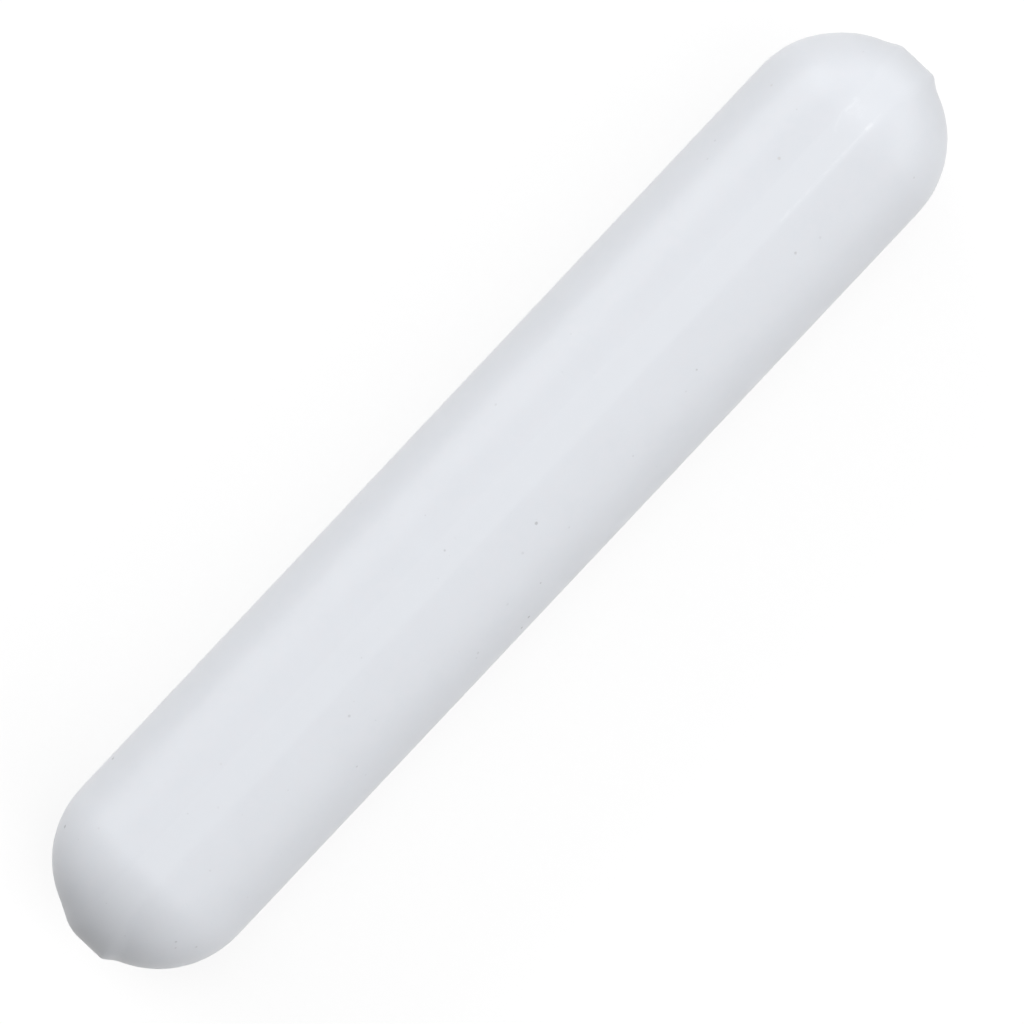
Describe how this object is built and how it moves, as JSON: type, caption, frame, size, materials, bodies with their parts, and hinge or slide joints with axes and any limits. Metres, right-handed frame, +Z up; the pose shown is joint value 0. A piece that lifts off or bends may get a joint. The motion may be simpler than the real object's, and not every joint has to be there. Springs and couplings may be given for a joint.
{
  "type": "magnetic stir bar",
  "caption": "Long cylindrical magnetic stir bar: a smooth white jacket with round ends and a parting line trimmed flat, sealed round a rod magnet.",
  "frame": {"origin": "on the surface that the bar rests on, under the middle of its length and on the upright line through its centre, which is the line it spins about", "axes": "+X along the bar towards one tip, +Z up from the flat it rests on, +Y across the bar"},
  "size_m": [0.152, 0.027, 0.0266],
  "materials": {
    "white_ptfe": "satin",
    "cast_magnet": "matte"
  },
  "bodies": {
    "root": {"jacket": "white_ptfe", "magnet": "cast_magnet"}
  },
  "joints": []
}
